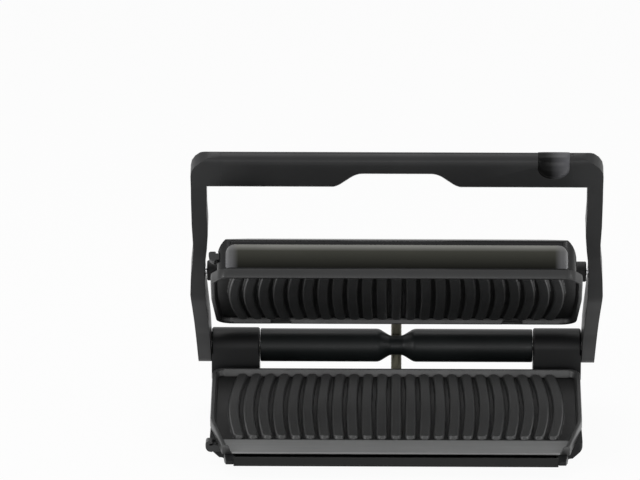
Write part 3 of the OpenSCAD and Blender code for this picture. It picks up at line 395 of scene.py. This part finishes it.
def lacquered_board(name):
    """Circuit board: green lacquer over a faint weave and copper tracks."""
    material, tree, shader = new_material(name)
    weave = noise(tree, 700, 1, 0.5, place(tree, (1, 3, 1)))
    tracks = noise(tree, 120, 0, 0.5, place(tree, (1, 0.15, 1)))
    body = blend_colour(tree, weave, colour((0.012, 0.075, 0.03)), colour((0.025, 0.14, 0.06)))
    copper = blend_colour(tree, ramp(tree, tracks, 0.55, 0.58), body, colour((0.05, 0.20, 0.08)))
    tree.links.new(copper, shader.inputs["Base Color"])
    tree.links.new(ramp(tree, weave, 0.2, 0.8, 0.25, 0.4), shader.inputs["Roughness"])
    tree.links.new(bump(tree, tracks, 0.05 * MM, 0.5), shader.inputs["Normal"])
    return material


MATERIALS = {
    "casing": lambda: plastic("casing", (0.0070, 0.0072, 0.0076), 0.44, 0.19),
    "cover": lambda: plastic("cover", (0.009, 0.009, 0.0095), 0.55, 0.28),
    "bush": lambda: brushed("bush", (0.55, 0.40, 0.19), 0.42, (60, 1, 1)),
    "heater": lambda: heated("heater", (0.20, 0.17, 0.14)),
    "reflector": lambda: brushed("reflector", (0.62, 0.62, 0.61), 0.28),
    "brass": lambda: brushed("brass", (0.60, 0.46, 0.22), 0.35, (30, 30, 30)),
    "board": lambda: lacquered_board("board"),
    "rubber": lambda: plastic("rubber", (0.012, 0.012, 0.012), 0.75, 0.2, 1400, 0.06, 1.9, 0.8, 0.35),
    "fastener": lambda: brushed("fastener", (0.55, 0.55, 0.56), 0.33, (40, 40, 40)),
    "conduit": lambda: brushed("conduit", (0.16, 0.152, 0.115), 0.46, (50, 50, 4), 220, 0.85),
    # For the lower plate 0.07 is the painted groove shade and 6.2 the painted lip reflection.
    "plate": lambda: coated("plate", (0.040, 0.0405, 0.0405), 0.40, 0.5, 0.07, 6.2),
    # Painted shade: the face-down upper plate has the same coating as the lower one, given a darker colour.
    "plate_upper": lambda: coated("plate_upper", (0.027, 0.0275, 0.028), 0.40, 0.45, 0.10),
    "tray": lambda: plastic("tray", (0.0058, 0.0060, 0.0057), 0.42, 0.22),
    "lever": lambda: plastic("lever", (0.020, 0.0205, 0.0212), 0.38, 0.4),
    "handle": lambda: plastic("handle", (0.0125, 0.0128, 0.0132), 0.44, 0.30),
    "handle_cover": lambda: plastic("handle_cover", (0.0035, 0.0035, 0.0042), 0.34, 0.16),
    "tube": lambda: plastic("tube", (0.0072, 0.0086, 0.0088), 0.38, 0.22),
    "shaft": lambda: brushed("shaft", (0.58, 0.58, 0.59), 0.25, (1, 60, 60)),
    "ring": lambda: plastic("ring", (0.42, 0.44, 0.45), 0.3, 0.5, 1600, 0.02, 1.1, 0.4, 0.06),
    "key": lambda: plastic("key", (0.010, 0.010, 0.0108), 0.28, 0.45),
    "lid": lambda: plastic("lid", (0.0036, 0.0037, 0.0042), 0.24, 0.26),
    "steel": lambda: lid_steel("steel"),
    "dial": lambda: dial_plastic("dial"),
}


# ---- CAD nodes with rounded edges ----

def clean_copy(node, merge=0.002 * MM):
    """A mesh of the node with its faces joined up, ready for bevels."""
    mesh = nodes[node].data.copy()
    mesh.name = node + "_mesh"
    bm = bmesh.new()
    bm.from_mesh(mesh)
    bmesh.ops.remove_doubles(bm, verts=bm.verts, dist=merge)
    return mesh, bm


def finish_mesh(mesh, bm, smooth=30):
    bm.to_mesh(mesh)
    bm.free()
    for name in ("custom_normal", "sharp_face", "sharp_edge"):
        if name in mesh.attributes:
            mesh.attributes.remove(mesh.attributes[name])
    mesh.polygons.foreach_set("use_smooth", [True] * len(mesh.polygons))
    mesh.set_sharp_from_angle(angle=math.radians(smooth))
    mesh.update()


def dress(node, width, segments=3, sharp=28, rule=None, clamp=True):
    """Replace a CAD node by its own shape with rounded edges.
    rule(point) gives an edge's share of the width."""
    mesh, bm = clean_copy(node)
    weight = bm.edges.layers.float.new("bevel_weight_edge")
    for edge in bm.edges:
        if len(edge.link_faces) == 2 and edge.calc_face_angle(0) > math.radians(sharp):
            edge[weight] = min(rule(v.co) for v in edge.verts) if rule else 1.0
    finish_mesh(mesh, bm)
    piece = bpy.data.objects.new(node + "_skin", mesh)
    scene.collection.objects.link(piece)
    bevel = piece.modifiers.new("round", "BEVEL")
    bevel.width = width * MM
    bevel.segments = segments
    bevel.limit_method = "WEIGHT"
    bevel.use_clamp_overlap = clamp
    wear(piece, node_slot[node])
    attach(piece, node_body[node])
    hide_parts(node)
    return piece


made = {}


def finish_of(slot):
    if slot not in made:
        made[slot] = MATERIALS[slot]()
    return made[slot]


def wear(piece, slot):
    piece.data.materials.clear()
    piece.data.materials.append(finish_of(slot))


def in_handle(point):
    """A point's place along the handle: across, away from the hinge, over the handle's plane."""
    y, z = point.y - HINGE.y, point.z - HINGE.z
    along = -y * math.cos(HANDLE_ANGLE) + z * math.sin(HANDLE_ANGLE)
    over = y * math.sin(HANDLE_ANGLE) + z * math.cos(HANDLE_ANGLE)
    return point.x, along, over


BAR_HALF = 196 * MM


def arm_rule(point):
    """Bores, and the seam against the crossbar, stay crisp."""
    x, along, over = in_handle(point)
    at_hinge = math.hypot(along, over) < 12 * MM
    at_pivot = math.hypot(along - PIVOT_S * MM, over - PIVOT_Z * MM) < 9 * MM
    if at_hinge or at_pivot or abs(x) < BAR_HALF + 1 * MM:
        return 0.0
    return min(1.0, max(0.25, (262 * MM - along) / (20 * MM)))


CROWN_Z = 9.4 * MM


def crown_rule(point):
    """The top edges of the lid's shell are rounder than the others."""
    height = (point - LID.translation).dot(LID.to_3x3() @ Vector((0, 0, 1)))
    return 1.0 if height > CROWN_Z else 0.2


# ---- Cast plates ----

def corner_points(corners, steps=6):
    """Outline through corners (x, y, radius), with its corners rounded."""
    points = []
    for i, (x, y, radius) in enumerate(corners):
        here = Vector((x, y))
        if radius == 0 or i in (0, len(corners) - 1):
            points.append((x, y))
            continue
        u = (Vector(corners[i - 1][:2]) - here).normalized()
        v = (Vector(corners[i + 1][:2]) - here).normalized()
        half = math.acos(max(-1, min(1, u.dot(v)))) / 2
        middle = here + (u + v).normalized() * radius / math.sin(half)
        first = here + u * radius / math.tan(half) - middle
        last = here + v * radius / math.tan(half) - middle
        start = math.atan2(first.y, first.x)
        sweep = (math.atan2(last.y, last.x) - start + math.pi) % (2 * math.pi) - math.pi
        for k in range(steps + 1):
            angle = start + sweep * k / steps
            points.append((middle.x + radius * math.cos(angle), middle.y + radius * math.sin(angle)))
    return np.array(points)


def distance_to(points, x, y):
    """Distance from the places x, y to the open line through the points."""
    best = np.full(x.shape, 1e9)
    for (ax, ay), (bx, by) in zip(points[:-1], points[1:]):
        dx, dy = bx - ax, by - ay
        t = np.clip(((x - ax) * dx + (y - ay) * dy) / (dx * dx + dy * dy), 0, 1)
        best = np.minimum(best, np.hypot(x - ax - t * dx, y - ay - t * dy))
    return best


def rounded_step(distance, radius):
    """Drop of a surface towards an edge rounded with the radius: radius at the edge, 0 inside."""
    inside = np.clip(radius - distance, 0, radius)
    return radius - np.sqrt(radius * radius - inside * inside)


def smooth(value):
    t = np.clip(value, 0, 1)
    return t * t * (3 - 2 * t)


RIB_PITCH = 16.7
RIB_BOW = 0.046
RIB_HALF = 6.2
RIB_SHOULDER = 2.1


def rib_relief(x, y, near, far, height, count=11):
    """Height of the cooking ribs over the plate's floor: rounded ridges, drawn in at both ends."""
    middle, half = (near + far) / 2, abs(far - near) / 2
    v = (y - middle) / half
    straight = x / (1 - RIB_BOW * v * v)
    centre = np.clip(np.round(straight / RIB_PITCH), -count, count) * RIB_PITCH
    across = (straight - centre) * (1 - RIB_BOW * v * v)
    past = np.maximum(np.abs(y - middle) - (half - RIB_HALF), 0)
    inside = RIB_HALF - np.hypot(across, past)
    t = np.clip(inside / RIB_SHOULDER, 0, 1)
    return height * np.sqrt(np.maximum(1 - (1 - t) ** 2, 0))


def column_shares(half, edge_steps, count):
    inner = np.linspace(0, 1 - edge_steps[0] / half, count)
    outer = 1 - np.array(edge_steps[1:]) / half
    right = np.concatenate([inner, outer])
    return np.concatenate([-right[:0:-1], right])


def cast_plate(name, outline, rows, height, depth, up, skirt=0.6):
    """Closed plate under the surface height(x, y), inside a mirrored half outline from back to front.
    height also gives how far each place rises out of the grooves, which sets the painted groove shade, and
    how far it is on the lip, which sets the painted lip reflection, 0 to 1.
    Its flat back lies depth away; up is 1 for a plate whose ribs point up and -1 for one over the food.
    skirt is the rise given to the outer wall, which sets how much painted groove shade it gets."""
    edge_steps = [11, 9.5, 8, 7, 6.2, 5.4, 4.7, 4, 3, 2, 1.4, 0.9, 0.5, 0.2, 0]
    shares = column_shares(outline[:, 0].max(), edge_steps, 236)
    order = np.argsort(outline[:, 1])
    reach = np.interp(rows, outline[order, 1], outline[order, 0])
    x = reach[:, None] * shares[None, :]
    y = np.repeat(np.array(rows)[:, None], len(shares), axis=1)
    z, rise, lip = height(x, y)
    n_rows, n_columns = x.shape
    points = [(a, b, up * c) for a, b, c in zip(x.ravel(), y.ravel(), z.ravel())]
    at = np.arange(n_rows * n_columns).reshape(n_rows, n_columns)
    faces = []
    for i in range(n_rows - 1):
        for j in range(n_columns - 1):
            faces.append((at[i, j], at[i, j + 1], at[i + 1, j + 1], at[i + 1, j]))
    loop = list(at[0, :]) + list(at[1:, -1]) + list(at[-1, -2::-1]) + list(at[-2:0:-1, 0])
    flat = np.array([(points[k][0], points[k][1]) for k in loop])
    ahead, behind = np.roll(flat, -1, axis=0), np.roll(flat, 1, axis=0)
    along = ahead - behind
    along /= np.maximum(np.linalg.norm(along, axis=1), 1e-9)[:, None]
    inward = np.stack([-along[:, 1], along[:, 0]], axis=1)
    centre = flat.mean(axis=0)
    if ((centre - flat) * inward).sum() < 0:
        inward = -inward
    ring = loop
    for inset, level in ((0.0, 0.9), (0.25, 0.3), (0.9, 0.0)):
        first = len(points)
        for place_xy, into in zip(flat, inward):
            spot = place_xy + into * inset
            points.append((spot[0], spot[1], up * (level - depth)))
        new = list(range(first, first + len(loop)))
        for k in range(len(loop)):
            following = (k + 1) % len(loop)
            faces.append((ring[following], ring[k], new[k], new[following]))
        ring = new
    faces.append(tuple(reversed(ring)))
    mesh = bpy.data.meshes.new(name)
    mesh.from_pydata([tuple(c * MM for c in p) for p in points], [],
                     [tuple(int(v) for v in f) for f in faces])
    for label, values, outside in (("rise", rise, skirt), ("lip", lip, 0.0)):
        layer = mesh.attributes.new(label, "FLOAT", "POINT")
        beyond = np.full(len(points) - values.size, outside)
        layer.data.foreach_set("value", np.append(values.ravel(), beyond))
    bm = bmesh.new()
    bm.from_mesh(mesh)
    bmesh.ops.recalc_face_normals(bm, faces=bm.faces)
    bm.to_mesh(mesh)
    bm.free()
    return mesh


def show_plate(node, mesh, frame_matrix, finish):
    mesh.transform(frame_matrix)
    mesh.polygons.foreach_set("use_smooth", [True] * len(mesh.polygons))
    mesh.set_sharp_from_angle(angle=math.radians(55))
    piece = bpy.data.objects.new(node + "_cast", mesh)
    scene.collection.objects.link(piece)
    wear(piece, finish)
    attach(piece, node_body[node])
    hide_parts(node)


def spaced(*stretches):
    """Rows from stretches (start, end, count), each without its end."""
    rows = []
    for start, end, count in stretches:
        rows += list(np.linspace(start, end, count, endpoint=False))
    return rows + [stretches[-1][1]]


LOWER_RIB_END = -188


def make_lower_plate():
    outline = corner_points([(0, 0, 0), (211, 0, 14), (209, -150, 60), (193, -228, 6), (150, -228, 0)])
    side = outline[outline[:, 1] > -227.9]
    rows = spaced((-0.05, -1.5, 5), (-1.5, -14, 14), (-14, -174, 30), (-174, -194, 24), (-194, -221, 9),
                  (-221, -226, 9))

    def height(x, y):
        edge = distance_to(side, np.abs(x), y)
        ribs = rib_relief(x, y, -6, LOWER_RIB_END, 3.9)
        wall = 1 - smooth((edge - 3.9) / 3.0)
        top = np.maximum(ribs - 8, 8 * wall - 8)
        lip = smooth((LOWER_RIB_END - 0.5 - y) / 2.5) * smooth((edge - 6.5) / 1.5)
        rise = np.clip(smooth(ribs / 3.2) + smooth((8 * wall) / 3.0) + lip, 0, 1)
        return top - rounded_step(edge, 1.3) - rounded_step(y + 226, 1.6), rise, lip

    cast = cast_plate("lower_plate_cast", outline, rows, height, 10.6, 1)
    show_plate("lower_plate", cast, PLATE, "plate")


UPPER_RIM = 34.87


def make_upper_plate():
    outline = corner_points([(0, 118, 0), (206.5, 118, 19), (209.2, 0, 300), (207.5, -85, 24),
                             (196, -110, 13), (0, -110, 0)])
    rows = spaced((117.95, 116.5, 5), (116.5, 104, 14), (104, -84, 33), (-84, -104, 22), (-104, -108.5, 9),
                  (-108.5, -109.95, 5))

    def height(x, y):
        edge = distance_to(outline, np.abs(x), y)
        ramp_in = smooth((y + 101) / 13)
        ribs = rib_relief(x, y, 108, -100, 4.0) * ramp_in
        wall = 1 - smooth((edge - 3.9) / 2.6)
        top = np.maximum(ribs - 6.5, 6.5 * wall - 6.5)
        # The rim rises to only 0.4, so it keeps part of the painted groove shade and comes out darker.
        rise = np.clip(smooth(ribs / 3.4) + 0.4 * smooth((6.5 * wall) / 3.0), 0, 1)
        notch = smooth((12.0 - np.abs(np.abs(x) - 133)) / 1.0) * smooth((y - 111.5) / 1.0)
        top = np.where(notch > 0, np.minimum(top, -2.3 * notch), top)
        return top - rounded_step(edge, 1.3), rise, np.zeros(x.shape)

    shift = Matrix.Translation((0, 0, -UPPER_RIM * MM))
    # The outer wall gets a rise of 0.2, so most of the painted groove shade stays on it.
    cast = cast_plate("upper_plate_cast", outline, rows, height, 11, -1, 0.2)
    show_plate("upper_plate", cast, LID @ shift, "plate_upper")


# ---- Housing of the control dial ----

DIAL_X = 174.0
DIAL_S = 318.0
DIAL_R = 17.6
BULGE_R = 17.3
BULGE_S = 320.0
BULGE_REACH = 15.8
# The crossbar's nose and underside in the handle's frame: distance from the hinge, height, bulge over it
BULGE_PATH = [
    (325.5, 7.7, 0.1), (328.6, 5.8, 0.35), (330.0, 2.5, 0.6), (330.0, -1.0, 1.0), (329.5, -4.0, 2.1),
    (327.4, -7.0, 3.6), (324.0, -8.7, 4.7), (320.0, -9.0, 5.2), (312.0, -9.0, 5.4), (300.4, -9.0, 5.4),
]


def make_dial_bulge():
    """Barrel-shaped housing under the dial: it wraps the bar's nose and ends round on the underside."""
    path = np.array(BULGE_PATH)
    run = np.concatenate([[0], np.cumsum(np.linalg.norm(np.diff(path[:, :2], axis=0), axis=1))])
    stations = np.linspace(0, run[-1], 70)
    s, z, swell = (np.interp(stations, run, path[:, k]) for k in range(3))
    direction = np.stack([np.gradient(s), np.gradient(z)], axis=1)
    for _ in range(4):
        direction = (np.roll(direction, 1, axis=0) + direction + np.roll(direction, -1, axis=0)) / 3
    direction[0], direction[-1] = (0.7, -0.7), (-1, 0)
    direction /= np.linalg.norm(direction, axis=1)[:, None]
    outward = np.stack([-direction[:, 1], direction[:, 0]], axis=1)
    half = np.sqrt(np.maximum(DIAL_R ** 2 - np.maximum(DIAL_S - s, 0) ** 2, 0.01))
    shares = np.sin(np.linspace(-math.pi / 2, math.pi / 2, 61))
    skin, core = [], []
    for k in range(len(s)):
        for share in shares:
            u = share * half[k]
            far = math.hypot(u / BULGE_R, max(BULGE_S - s[k], 0) / BULGE_REACH)
            lift = 0.12 + swell[k] * math.sqrt(max(1 - far ** 2.8, 0))
            top = (s[k], z[k]) + outward[k] * lift
            low = (s[k], z[k]) - outward[k] * 1.2
            skin.append((DIAL_X + u, -top[0], top[1]))
            core.append((DIAL_X + u, -low[0], low[1]))
    show_sheet("dial_bulge", skin, core, len(s), len(shares), "dial_cup")


def show_sheet(name, skin, core, rows, columns, node):
    """Closed piece between two grids of points in the handle's frame, in a node's place."""
    count = rows * columns
    at = np.arange(count).reshape(rows, columns)
    faces = []
    for i in range(rows - 1):
        for j in range(columns - 1):
            quad = (at[i, j], at[i, j + 1], at[i + 1, j + 1], at[i + 1, j])
            faces.append(quad)
            faces.append(tuple(v + count for v in reversed(quad)))
    loop = list(at[0, :]) + list(at[1:, -1]) + list(at[-1, -2::-1]) + list(at[-2:0:-1, 0])
    for a, b in zip(loop, loop[1:] + loop[:1]):
        faces.append((b, a, a + count, b + count))
    mesh = bpy.data.meshes.new(name)
    mesh.from_pydata([tuple(c * MM for c in p) for p in skin + core], [],
                     [tuple(int(v) for v in f) for f in faces])
    mesh.transform(HANDLE)
    bm = bmesh.new()
    bm.from_mesh(mesh)
    bmesh.ops.recalc_face_normals(bm, faces=bm.faces)
    bm.to_mesh(mesh)
    bm.free()
    mesh.polygons.foreach_set("use_smooth", [True] * len(mesh.polygons))
    mesh.set_sharp_from_angle(angle=math.radians(50))
    piece = bpy.data.objects.new(name, mesh)
    scene.collection.objects.link(piece)
    wear(piece, "dial")
    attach(piece, node_body[node])
    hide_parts(node)


# ---- Braided conduit ----

HOSE_R = 6.0
HOSE_Y = 20.5
LOWER_FOOT = (13, -34.8)
# The upper gland in the lid's frame: its mouth, its inner end and its height
MOUTH_Y = 115.5
INNER_Y = 111
GLAND_Z = -9.97


def bezier(points, t):
    a, b, c, d = (np.array(p, float) for p in points)
    return a * (1 - t) ** 3 + 3 * b * t * (1 - t) ** 2 + 3 * c * (1 - t) * t ** 2 + d * t ** 3


def braided_tube(name, curves, starts=12, twist=0.42):
    """Tube of woven strands along [y, z] curves from the hinge line.
    Two families of strands cross over and under."""
    route = []
    for curve in curves:
        for t in np.linspace(0, 1, 90, endpoint=False):
            route.append(bezier(curve, t))
    route.append(bezier(curves[-1], 1))
    route = np.array(route)
    travelled = np.concatenate([[0], np.cumsum(np.linalg.norm(np.diff(route, axis=0), axis=1))])
    stations = np.arange(0, travelled[-1], 0.42)
    line = np.stack([np.interp(stations, travelled, route[:, k]) for k in (0, 1)], axis=1)
    along = np.gradient(line, axis=0)
    along /= np.linalg.norm(along, axis=1)[:, None]
    sides = 120
    angle = np.linspace(0, 2 * math.pi, sides, endpoint=False)
    s, a = stations[:, None], angle[None, :]
    left, right = starts * a + twist * s * math.pi, starts * a - twist * s * math.pi
    over = np.sign(np.cos(left / 2) * np.cos(right / 2))
    strand_left = np.abs(np.cos(left / 2)) ** 0.7 + 0.35 * over
    strand_right = np.abs(np.cos(right / 2)) ** 0.7 - 0.35 * over
    radius = HOSE_R - 0.65 + 0.5 * np.maximum(strand_left, strand_right)
    radius = np.minimum(radius, HOSE_R + 0.05)
    points = []
    for k in range(len(stations)):
        up = np.array([-along[k, 1], along[k, 0]])
        for j in range(sides):
            r = radius[k, j]
            y, z = line[k] + r * math.sin(angle[j]) * up
            points.append((r * math.cos(angle[j]) * MM, HINGE.y + y * MM, HINGE.z + z * MM))
    faces = []
    for k in range(len(stations) - 1):
        for j in range(sides):
            a0, a1 = k * sides + j, k * sides + (j + 1) % sides
            faces.append((a0, a1, a1 + sides, a0 + sides))
    last = (len(stations) - 1) * sides
    faces.append(tuple(range(sides - 1, -1, -1)))
    faces.append(tuple(range(last, last + sides)))
    mesh = bpy.data.meshes.new(name)
    mesh.from_pydata(points, [], faces)
    mesh.polygons.foreach_set("use_smooth", [True] * len(mesh.polygons))
    bm = bmesh.new()
    bm.from_mesh(mesh)
    bmesh.ops.recalc_face_normals(bm, faces=bm.faces)
    bm.to_mesh(mesh)
    bm.free()
    piece = bpy.data.objects.new(name, mesh)
    scene.collection.objects.link(piece)
    wear(piece, "conduit")
    return piece


def hinge_point(matrix, y, z):
    """A point [y, z] of a frame, as [y, z] from the hinge line."""
    place = matrix @ Vector((0, y * MM, z * MM)) - HINGE
    return (place.y / MM, place.z / MM)


def make_conduit():
    """One flexible conduit in two lengths, fixed meshes shaped for this pose: bent at the tube, and running
    up into the lid above.
    """
    mouth = hinge_point(LID, MOUTH_Y, GLAND_Z)
    inner = hinge_point(LID, INNER_Y, GLAND_Z)
    away = (np.array(mouth) - np.array(inner)) / np.linalg.norm(np.array(mouth) - np.array(inner))
    split = 0.45
    whole = [(HOSE_Y, 0.15), (HOSE_Y, 22), tuple(np.array(mouth) + 22 * away), mouth]
    near, far = split_bezier(whole, split)
    foot = [LOWER_FOOT, (LOWER_FOOT[0], -24), (HOSE_Y, -14), (HOSE_Y, 0.15)]
    lower = braided_tube("conduit_low", [foot, near])
    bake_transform(lower)
    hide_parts("conduit_lower")
    end = [mouth, mouth, inner, inner]
    upper = braided_tube("conduit_high", [far, end])
    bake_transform(upper)
    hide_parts("conduit_upper")


def split_bezier(points, t):
    a, b, c, d = (np.array(p, float) for p in points)
    ab, bc, cd = a + (b - a) * t, b + (c - b) * t, c + (d - c) * t
    abc, bcd = ab + (bc - ab) * t, bc + (cd - bc) * t
    middle = abc + (bcd - abc) * t
    return [a, ab, abc, middle], [middle, bcd, cd, d]


make_camera()
make_light()
make_floor()
make_lower_plate()
make_upper_plate()
make_dial_bulge()
make_conduit()

DRESSED = {
    "base_shell": 1.0, "tower_left": 0.9, "tower_right": 0.9, "drip_tray": 0.5, "lower_lever": 0.5,
    "upper_lever": 0.5, "crossbar": 0.5, "bar_cover_panel": 0.45,
    "cross_tube": 0.5, "front_panel": 0.3, "top_panel": 0.3,
    "lid_frame": 0.6, "feet": 0.6, "cord_gland": 0.5, "conduit_gland_base": 0.3, "conduit_gland_lid": 0.3,
    "indicator_ring": 0.3, "ok_key": 0.5, "power_key": 0.4, "key_1": 0.4, "key_2": 0.4, "key_3": 0.4,
    "key_4": 0.4,
}
for name, width in DRESSED.items():
    dress(name, width)
for name in ("arm_left", "arm_right"):
    dress(name, 1.1, 3, rule=arm_rule)
dress("lid_shell", 3.5, 5, rule=crown_rule)
MODELLED = {"arm_left", "arm_right", "lid_shell", "lower_plate", "upper_plate", "dial_cup"}
for name in sorted(set(nodes) - set(DRESSED) - MODELLED):
    wear(nodes[name], node_slot[name])

scene.view_settings.view_transform = "Standard"
